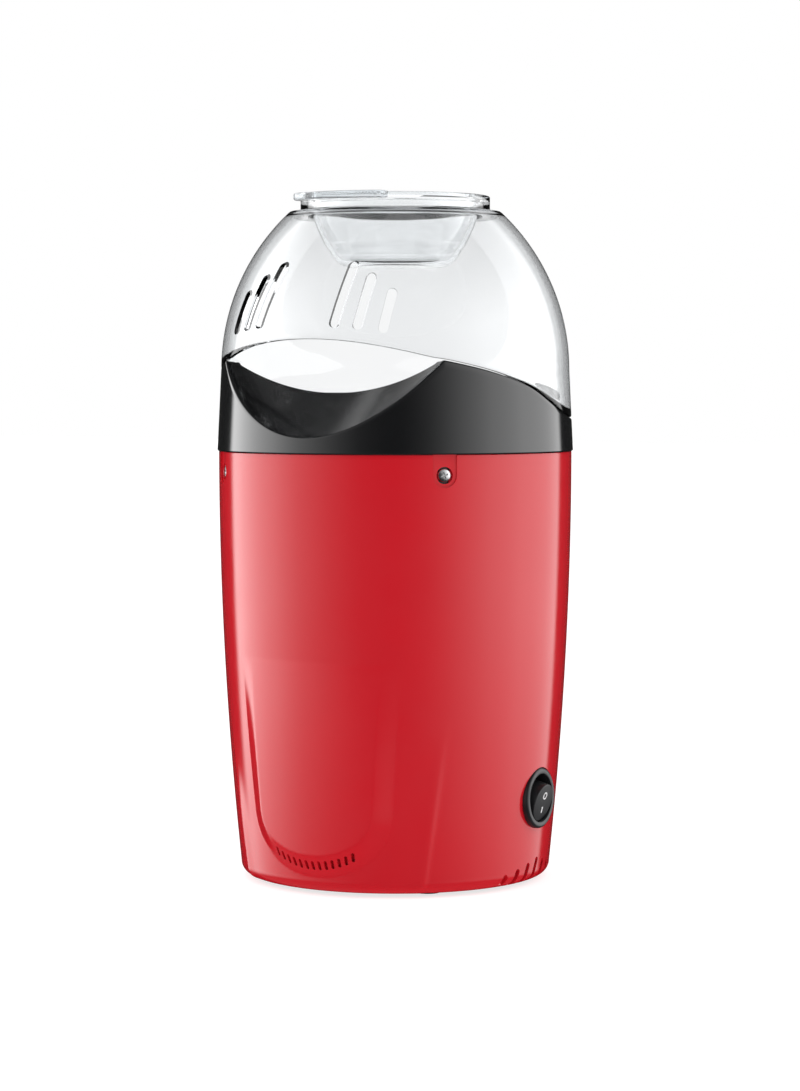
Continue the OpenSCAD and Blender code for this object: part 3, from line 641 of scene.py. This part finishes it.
def collar_outline(psi):
    """The collar's closed section at one angle, as points of (r, z)."""
    c, s = math.cos(psi), math.sin(psi)

    def top(r, line):
        """Height of a top surface at radius r: its own line, cut down by the trough."""
        return float(np.minimum(line, trough(r * s, r * c)))

    def under(r, limit):
        """Height of the hollow's roof at radius r, which keeps below the trough."""
        return min(limit, float(trough(r * s, r * c)) - DECK_T / math.cos(RAMP_TILT))

    def wall_r(z):
        return COLLAR_R - (z - SEAM) * COLLAR_TAPER

    edge = 0.9
    rim = top(COLLAR_RIM_R, parting(COLLAR_RIM_R * c))
    points = [(COLLAR_FOOT_R, SEAM), (COLLAR_R - 0.5, SEAM), (COLLAR_R, SEAM + 0.5)]
    for t in np.linspace(0.08, 1, 14):
        z = SEAM + 0.5 + (rim - edge - SEAM - 0.5) * t
        points.append((wall_r(z), z))
    centre = wall_r(rim) - edge
    for a in (25, 50, 75):
        r = centre + edge * math.cos(math.radians(a))
        points.append((r, min(rim - edge + edge * math.sin(math.radians(a)), top(r, parting(r * c)))))
    for r in (COLLAR_FOOT_R, 72.4, 71.4, LIP_OUT + 0.01):
        points.append((r, top(r, parting(r * c))))
    lip_foot, lip_top = top(LIP_OUT, parting(LIP_OUT * c)), top(LIP_OUT, lip_line(LIP_OUT * c))
    lip_rise = lip_top - 0.6 - lip_foot if lip_top > lip_foot + 1 else 0
    for t in (0.25, 0.5, 0.75):
        points.append((LIP_OUT, lip_foot + lip_rise * t))
    pocket_r = min(LIP_IN, CHUTE_BACK / c) if c > 0.01 else LIP_IN
    rim_radii = [(LIP_OUT, 0.6), (LIP_OUT - 0.2, 0.18), (LIP_OUT - 0.6, 0.0)]
    rim_radii += [(r, 0.0) for r in np.linspace(LIP_OUT - 1.1, pocket_r + 1.0, 12)]
    rim_radii += [(pocket_r + 0.6, 0.0), (pocket_r + 0.2, 0.15), (pocket_r, 0.5)]
    for r, drop in rim_radii:
        height = top(r, lip_line(r * c))
        cut = r > LIP_OUT - 1 and height < lip_line(r * c) - 0.5
        points.append((r, height - (0 if cut else drop)))
    inner_top = points[-1][1]
    for t in (0.3, 0.6, 0.9, 0.97):
        points.append((pocket_r, inner_top + (DECK_Z - inner_top) * t))
    for r in np.linspace(pocket_r - 0.4, MOUTH_R + 0.9, 8):
        points.append((r, DECK_Z))
    points += [(MOUTH_R + 0.3, DECK_Z - 0.15), (MOUTH_R, DECK_Z - 0.8)]
    points += [(MOUTH_R, TUBE_FOOT + 3), (MOUTH_R, TUBE_FOOT + 0.3), (MOUTH_R + 0.3, TUBE_FOOT)]
    points += [(MOUTH_TUBE_R, TUBE_FOOT)]
    hollow_r = COLLAR_HOLLOW_R
    step_r = min(hollow_r, max(MOUTH_TUBE_R + 0.3, (CHUTE_BACK + DECK_T) / c)) if c > 0.01 else hollow_r
    roof = DECK_Z - DECK_T
    points += [(r, under(r, roof)) for r in np.linspace(MOUTH_TUBE_R, step_r, 4)]
    chute_roof = SEAM + 33 if step_r < hollow_r else roof
    points += [(r, under(r, chute_roof)) for r in np.linspace(step_r, hollow_r, 5)]
    points += [(hollow_r, under(hollow_r, SEAM + 11.3)), (SKIRT_IN, under(SKIRT_IN, SEAM + 11.2))]
    skirt_foot = SEAM - SKIRT_DROP
    points += [(SKIRT_IN, SEAM), (SKIRT_IN, skirt_foot), (SKIRT_OUT, skirt_foot), (SKIRT_OUT, SEAM)]
    return points


def build_collar():
    """The collar's section, which changes with the angle, joined up all the way round."""
    columns = []
    for psi in np.linspace(-math.pi, math.pi, COLLAR_STEPS, endpoint=False):
        r, z = np.array(collar_outline(psi)).T
        columns.append(np.stack([r * math.sin(psi), -r * math.cos(psi), z], axis=-1))
    return ring_surface("chute_collar_skin", np.array(columns), BLACK, 40)


# ---- Lid -----------------------------------------------------------------------------------------

def lid_outer(z, wall=0.0):
    """Radius of the lid's outside, or of its inside when a wall is given."""
    low = LID_R + (DOME_Z - z) * COLLAR_TAPER - wall
    high = DOME_X + np.sqrt(np.maximum((DOME_R - wall) ** 2 - (z - DOME_Z) ** 2, 1))
    return np.where(z < DOME_Z, low, high)


def lid_rim(psi):
    """Height of the lid's lower edge at one angle."""
    front, x = LID_R * math.cos(psi), LID_R * math.sin(psi)
    rim = float(parting(front)) + LID_GAP
    if front > ARCH_START:
        rim = max(rim, ARCH_TOP - ARCH_R + math.sqrt(ARCH_R**2 - x * x))
    return rim


def lid_outline(psi):
    """The lid's closed section at one angle: outer wall, neck and inner wall."""
    rim = lid_rim(psi)
    edge, top_z = 0.8, SHOULDER_Z - 0.7
    spread = 1 - (1 - np.linspace(0, 1, 46)) ** 1.45
    outer_z = rim + edge + (top_z - rim - edge) * spread
    points = [(float(lid_outer(rim)) - edge, rim), (float(lid_outer(rim)) - 0.25, rim + 0.2)]
    points += [(float(lid_outer(z)), z) for z in outer_z]
    points += [(SHOULDER_R - 0.4, SHOULDER_Z - 0.12), (SHOULDER_R - 1.2, SHOULDER_Z)]
    points += [(NECK_OUT + 0.5, SHOULDER_Z), (NECK_OUT, SHOULDER_Z + 0.5)]
    points += [(NECK_OUT, SHOULDER_Z + 3.1), (NECK_OUT - 0.4, SHOULDER_Z + 3.5)]
    points += [(NECK_IN + 0.4, SHOULDER_Z + 3.5), (NECK_IN, SHOULDER_Z + 3.1)]
    points += [(NECK_IN, SHOULDER_Z - LID_WALL + 0.4), (NECK_IN + 0.4, SHOULDER_Z - LID_WALL)]
    inner_top = SHOULDER_Z - LID_WALL - 1.2
    points += [(float(lid_outer(inner_top, LID_WALL)) - 1.6, SHOULDER_Z - LID_WALL)]
    inner_z = rim + edge + (inner_top - rim - edge) * spread[::-1]
    points += [(float(lid_outer(z, LID_WALL)), z) for z in inner_z]
    points += [(float(lid_outer(rim, LID_WALL)) + 0.25, rim + 0.2)]
    return points


def build_lid():
    columns = []
    for psi in np.linspace(-math.pi, math.pi, LID_STEPS, endpoint=False):
        r, z = np.array(lid_outline(psi)).T
        columns.append(np.stack([r * math.sin(psi), -r * math.cos(psi), z], axis=-1))
    lid = ring_surface("lid_dome_skin", np.array(columns), LID, 40)
    cutters = []
    for psi, foot, top in SLOTS:
        for side in (1, -1):
            length = (top - foot) / math.cos(SLOT_LEAN)
            place = radial(math.degrees(LID_TURN) + side * psi, SEAM + (foot + top) / 2, SLOT_LEAN)
            cutters.append(prism("slot", stadium(SLOT_W, length, 16), INSIDE_LID, PAST_LID, place))
    return polish(boolean(lid, cutters), LID, 40)


# ---- Measuring cup -------------------------------------------------------------------------------

def cup_outline():
    """Half section of the cup: the bowl's outside, the rim with its skirt, and the bowl's inside."""
    t = CUP_TOP
    bowl_outside = [
        [(0, t - 30), (14, t - 30), (21.3, t - 29.8), (25.6, t - 27.3), (28.4, t - 23)],
        [(30, t - 20.9), (32.2, t - 16.4), (34.4, t - 11.4), (35.7, t - 7), (36.3, t - 2.6)]]
    rim = [(36.9, t - 1.9), (38.4, t - 1.7), (38.9, t - 2.2), (39, t - 5.8), (39.3, t - 6.2), (40.2, t - 6.2),
           (40.5, t - 5.9), (40.5, t - 0.5), (40.3, t - 0.15), (39.9, t), (35.8, t), (35.1, t - 0.4)]
    bowl_inside = [
        [(34.7, t - 2.6), (34.1, t - 7.2), (32.8, t - 11), (30.6, t - 15.8), (28.5, t - 20.1)],
        [(27, t - 22), (24.4, t - 26.1), (20.7, t - 28.2), (14, t - 28.4), (0, t - 28.4)]]
    outside, inside = ([point for line in lines for point in curve_through(line, 0.8)]
                       for lines in (bowl_outside, bowl_inside))
    return outside + rim + inside


def tab_outline(inset):
    """The finger tab seen from above: a curved bar with round ends."""
    half, middle, end_r = math.radians(TAB_HALF_DEG), TAB_MIDDLE_R, TAB_HALF_W - inset
    ends = [(middle * math.sin(half) + end_r * math.sin(half + b),
             -middle * math.cos(half) - end_r * math.cos(half + b)) for b in np.linspace(0, math.pi, 14)]
    outer = [((middle + end_r) * math.sin(a), -(middle + end_r) * math.cos(a))
             for a in np.linspace(-half, half, 28)]
    inner = [((middle - end_r) * math.sin(a), -(middle - end_r) * math.cos(a))
             for a in np.linspace(half, -half, 28)]
    other_end = [(-x, y) for x, y in ends[::-1]]
    return outer + ends[1:-1] + inner + other_end[1:-1]


def build_cup():
    """The cup with its finger tab joined on, turned to match the lid."""
    cup = lathe("measuring_cup_skin", cup_outline(), CUP_STEPS, material=CUP)
    turn = Matrix.Rotation(LID_TURN, 4, "Z")
    layers = [(0.7, CUP_TOP - 3), (0.2, CUP_TOP - 2.8), (0.0, CUP_TOP - 2.3), (0.0, CUP_TOP - 0.7),
              (0.2, CUP_TOP - 0.2), (0.7, CUP_TOP)]
    rings = [transform(np.array([(x, y, z) for x, y in tab_outline(inset)]), turn) for inset, z in layers]
    count = len(rings[0])
    faces = [list(range(count))[::-1], [count * (len(rings) - 1) + i for i in range(count)]]
    for k in range(len(rings) - 1):
        faces += [[k * count + i, k * count + (i + 1) % count, (k + 1) * count + (i + 1) % count,
                   (k + 1) * count + i] for i in range(count)]
    tab = new_object("tab", np.vstack(rings), faces)
    return polish(boolean(cup, [tab], "UNION"), CUP, 40)


# ---- Switch --------------------------------------------------------------------------------------

def build_bezel():
    face, seat, back = BEZEL_SEAT + BEZEL_T, BEZEL_SEAT, 47
    outline = [(0, back), (SWITCH_BARREL_R - 0.4, back), (SWITCH_BARREL_R, back + 0.4)]
    outline += [(SWITCH_BARREL_R, seat), (BEZEL_R, seat), (BEZEL_R, seat + 0.7)]
    outline += arc(BEZEL_R - 1.2, face - 1.2, 1.2, 15, 90, 8)
    outline += [(POCKET_R + 0.6, face), (POCKET_R + 0.2, face - 0.12), (POCKET_R, face - 0.5)]
    outline += [(POCKET_R, POCKET_FLOOR), (0, POCKET_FLOOR)]
    return lathe("switch_bezel_skin", outline, 128, radial(90, SWITCH_Z), SWITCH)


def build_rocker():
    """Round rocker with a flat face and a softened rim, tilted by half its swing about a deep pivot."""
    tilt = Matrix.Rotation(ROCKER_SWING / 2, 4, "X")
    place = radial(90, SWITCH_Z) @ Matrix.Translation((0, 0, PIVOT_R)) @ tilt
    outline = [(0, 0), (ROCKER_R - 0.6, 0), (ROCKER_R, 0.6)]
    outline += arc(ROCKER_R - 0.45, ROCKER_FACE - 0.45, 0.45, 0, 90, 6) + [(0, ROCKER_FACE)]
    return lathe("switch_rocker_skin", outline, 128, place, SWITCH)


# ---- Screws --------------------------------------------------------------------------------------

def build_collar_screws():
    """Four pan-head screws with a cross recess, seated in the body's channels."""
    parts = []
    # From the shank's tip to the top of the head, as (r, height above the seat)
    profile = [(0, -5), (1.0, -4.8), (1.25, -4.3), (1.25, 0), (2.5, 0), (2.7, 0.2), (2.7, 0.5), (2.5, 0.8),
               (1.9, 1.05), (0.9, 1.17), (0, 1.2)]
    head = [(r, SCREW_SEAT + height) for r, height in profile]
    recess_floor, recess_top = SCREW_SEAT + 0.45, SCREW_SEAT + 3
    for k, psi in enumerate(SCREW_PSI):
        place = radial(psi, SCREW_Z, math.radians(20 + 31 * k))
        part = lathe("screw", head, 48, place)
        arms = [prism("arm", rectangle(-1.5, 1.5, -0.3, 0.3), recess_floor, recess_top, place),
                prism("arm", rectangle(-0.3, 0.3, -1.5, 1.5), recess_floor, recess_top, place)]
        parts.append(boolean(part, arms))
    return polish(join(parts, "collar_screws_skin"), SCREW, 30)


# ---- Placing the pieces --------------------------------------------------------------------------

def add_piece(piece, body, node):
    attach(piece, body)
    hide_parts(node)


add_piece(build_body(), "root", "body_shell")
add_piece(build_collar(), "root", "chute_collar")
add_piece(build_lid(), "lid", "lid_dome")
add_piece(build_cup(), "cup", "measuring_cup")
add_piece(build_bezel(), "root", "switch_housing")
add_piece(build_rocker(), "rocker", "switch_rocker")
add_piece(build_collar_screws(), "root", "collar_screws")


# ---- Studio --------------------------------------------------------------------------------------

VIEW_AZIMUTH = math.radians(29.4)
CAMERA_DISTANCE = 1.2903
CAMERA_HEIGHT = 0.2133
CAMERA_PITCH = math.radians(3.16)
CAMERA_SIDE = 0.00202
CAMERA_LENS_MM = 98.99
CAMERA_SENSOR_MM = 36
FLOOR_HALF = 8.0
RIGHT = Vector((math.cos(VIEW_AZIMUTH), math.sin(VIEW_AZIMUTH), 0))
AWAY = Vector((-math.sin(VIEW_AZIMUTH), math.cos(VIEW_AZIMUTH), 0))


def build_camera():
    """The view of the photo: a long lens a little to the right of the front, slightly above."""
    data = bpy.data.cameras.new("camera")
    data.sensor_width = CAMERA_SENSOR_MM
    data.lens = CAMERA_LENS_MM
    data.clip_start, data.clip_end = 0.05, 50
    camera = bpy.data.objects.new("camera", data)
    bpy.context.scene.collection.objects.link(camera)
    camera.location = -AWAY * CAMERA_DISTANCE + RIGHT * CAMERA_SIDE + Vector((0, 0, CAMERA_HEIGHT))
    forward = AWAY * math.cos(CAMERA_PITCH) - Vector((0, 0, math.sin(CAMERA_PITCH)))
    camera.rotation_mode = "QUATERNION"
    camera.rotation_quaternion = forward.to_track_quat("-Z", "Y")
    bpy.context.scene.camera = camera


def build_floor():
    """A pale floor that glows a little, so that it merges with the white behind."""
    corners = [(x, y, 0) for x, y in rectangle(-FLOOR_HALF, FLOOR_HALF, -FLOOR_HALF, FLOOR_HALF)]
    mesh = bpy.data.meshes.new("floor")
    mesh.from_pydata(corners, [], [(0, 1, 2, 3)])
    material, nodes, links, shader = node_material("studio_floor")
    vary_colour(nodes, links, shader, noise(nodes, links, 3), (0.4, 0.4, 0.4), 0.01)
    shader.inputs["Roughness"].default_value = 0.9
    shader.inputs["Specular IOR Level"].default_value = 0.0
    shader.inputs["Emission Color"].default_value = (1, 1, 1, 1)
    shader.inputs["Emission Strength"].default_value = 0.75
    mesh.materials.append(material)
    floor = bpy.data.objects.new("floor", mesh)
    bpy.context.scene.collection.objects.link(floor)
    floor.visible_glossy = False


SOFTBOX_LEVEL = 4.0
DIFFUSE_FLOOR = 0.06
DIFFUSE_SHARE = 0.58
# White sweep behind the object, as (cosine of the angle from straight away, level)
WHITE_SWEEP = [(0.0, 0.2), (0.4, 0.45), (0.6, 0.65), (0.8, 0.9), (0.93, 1.02), (1.0, 1.04)]
PALE_ROOM = 0.7
SIDE_BLEND = 0.1
# Level below the horizon and level overhead, and the heights of the ray's direction where each fades in
LOW_LEVEL = 0.04
LOW_FADE = (-0.42, -0.12)
CEILING_LEVEL = 0.03
CEILING_FADE = (0.35, 0.75)
# Softbox brightness, as (cosine of the angle from the camera's side, level)
LEFT_SOFTBOX = [(-1.0, 0.02), (-0.7, 0.02), (-0.63, 3.4), (-0.52, 3.7), (-0.34, 3.5), (0.08, 2.6),
                (0.42, 1.35), (0.73, 0.55), (0.92, 0.12), (1.0, 0.02)]
RIGHT_SOFTBOX = [(-1.0, 0.02), (-0.72, 0.02), (-0.66, 2.1), (-0.44, 2.0), (0.0, 2.4), (0.42, 1.9),
                 (0.73, 0.95), (0.92, 0.25), (1.0, 0.02)]


def build_world():
    """White studio with a softbox wall on each side that fades towards the camera, and dark ends."""
    world = bpy.data.worlds.new("studio")
    bpy.context.scene.world = world
    world.use_nodes = True
    nodes, links = world.node_tree.nodes, world.node_tree.links
    nodes.clear()
    direction = nodes.new("ShaderNodeTexCoord").outputs["Generated"]

    def dot(vector):
        node = nodes.new("ShaderNodeVectorMath")
        node.operation = "DOT_PRODUCT"
        node.inputs[1].default_value = vector
        links.new(direction, node.inputs[0])
        return node.outputs["Value"]

    def math_node(operation, a, b):
        node = nodes.new("ShaderNodeMath")
        node.operation = operation
        for socket, value in zip(node.inputs, (a, b)):
            if isinstance(value, (int, float)):
                socket.default_value = value
            else:
                links.new(value, socket)
        return node.outputs["Value"]

    toward_camera = map_range(nodes, links, dot(-AWAY), 0, 1, -1, 1)

    def softbox_wall(stops):
        """Brightness by the cosine of the angle from the camera's side, as (cosine, level) stops."""
        ramp = nodes.new("ShaderNodeValToRGB")
        while len(ramp.color_ramp.elements) < len(stops):
            ramp.color_ramp.elements.new(0.5)
        for element, (cosine, level) in zip(ramp.color_ramp.elements, stops):
            element.position = (cosine + 1) / 2
            element.color = [level / SOFTBOX_LEVEL] * 3 + [1]
        links.new(toward_camera, ramp.inputs["Fac"])
        return math_node("MULTIPLY", ramp.outputs["Color"], SOFTBOX_LEVEL)

    left, right = softbox_wall(LEFT_SOFTBOX), softbox_wall(RIGHT_SOFTBOX)
    on_right = map_range(nodes, links, dot(RIGHT), 0, 1, -SIDE_BLEND, SIDE_BLEND)
    softbox = math_node("ADD", math_node("MULTIPLY", right, on_right),
                        math_node("MULTIPLY", left, math_node("SUBTRACT", 1, on_right)))

    above = map_range(nodes, links, dot((0, 0, 1)), LOW_LEVEL, 1, *LOW_FADE)
    softbox = math_node("MULTIPLY", softbox, above)
    diffuse = math_node("ADD", math_node("MULTIPLY", softbox, DIFFUSE_SHARE), DIFFUSE_FLOOR)

    # A ray that has been reflected sees the softboxes. One that has only passed through the clear
    # parts sees the white sweep, which is no wider than the view.
    sweep = nodes.new("ShaderNodeValToRGB")
    while len(sweep.color_ramp.elements) < len(WHITE_SWEEP):
        sweep.color_ramp.elements.new(0.5)
    for element, (cosine, level) in zip(sweep.color_ramp.elements, WHITE_SWEEP):
        element.position, element.color = cosine, (level, level, level, 1)
    links.new(dot(AWAY), sweep.inputs["Fac"])

    path = nodes.new("ShaderNodeLightPath")
    reflected = math_node("MINIMUM", path.outputs["Glossy Depth"], 1)
    direct = math_node("MULTIPLY", sweep.outputs["Color"], math_node("SUBTRACT", 1, reflected))
    # The softboxes stop short of overhead, so what faces straight up reflects a dark ceiling. A ray
    # reflected inside the clear parts sees a pale room, so their edges don't go black.
    below_ceiling = map_range(nodes, links, dot((0, 0, 1)), 1, CEILING_LEVEL, *CEILING_FADE)
    inside_clear = math_node("MINIMUM", path.outputs["Transmission Depth"], 1)
    pale_room = math_node("MULTIPLY", math_node("MULTIPLY", below_ceiling, PALE_ROOM), inside_clear)
    mirrored = math_node("MAXIMUM", math_node("MULTIPLY", softbox, below_ceiling), pale_room)
    sharp = math_node("ADD", math_node("MULTIPLY", mirrored, reflected), direct)
    plain = math_node("ADD", path.outputs["Is Camera Ray"], path.outputs["Is Diffuse Ray"])
    level = math_node("ADD", math_node("MULTIPLY", sharp, math_node("SUBTRACT", 1, plain)),
                      math_node("MULTIPLY", diffuse, path.outputs["Is Diffuse Ray"]))
    level = math_node("ADD", level, path.outputs["Is Camera Ray"])
    background = nodes.new("ShaderNodeBackground")
    background.inputs["Color"].default_value = (1, 1, 1, 1)
    output = nodes.new("ShaderNodeOutputWorld")
    links.new(level, background.inputs["Strength"])
    links.new(background.outputs["Background"], output.inputs["Surface"])


TOP_LIGHT_WATTS = 6
TOP_LIGHT_SIZE = (1.4, 1.0)
TOP_LIGHT_HEIGHT = 1.7
TOP_LIGHT_FORWARD = 0.4
TOP_LIGHT_AIM = 0.15


def build_top_light():
    """A wide lamp above and in front of the object, which leaves no highlight."""
    data = bpy.data.lights.new("top_softbox", "AREA")
    data.shape, data.energy = "RECTANGLE", TOP_LIGHT_WATTS
    data.size, data.size_y = TOP_LIGHT_SIZE
    light = bpy.data.objects.new("top_softbox", data)
    bpy.context.scene.collection.objects.link(light)
    light.visible_glossy = False
    light.location = Vector((0, 0, TOP_LIGHT_HEIGHT)) - AWAY * TOP_LIGHT_FORWARD
    light.rotation_mode = "QUATERNION"
    aim = Vector((0, 0, TOP_LIGHT_AIM)) - light.location
    light.rotation_quaternion = aim.to_track_quat("-Z", "Y")


build_camera()
build_floor()
build_world()
build_top_light()
bpy.context.scene.view_settings.view_transform = "Standard"
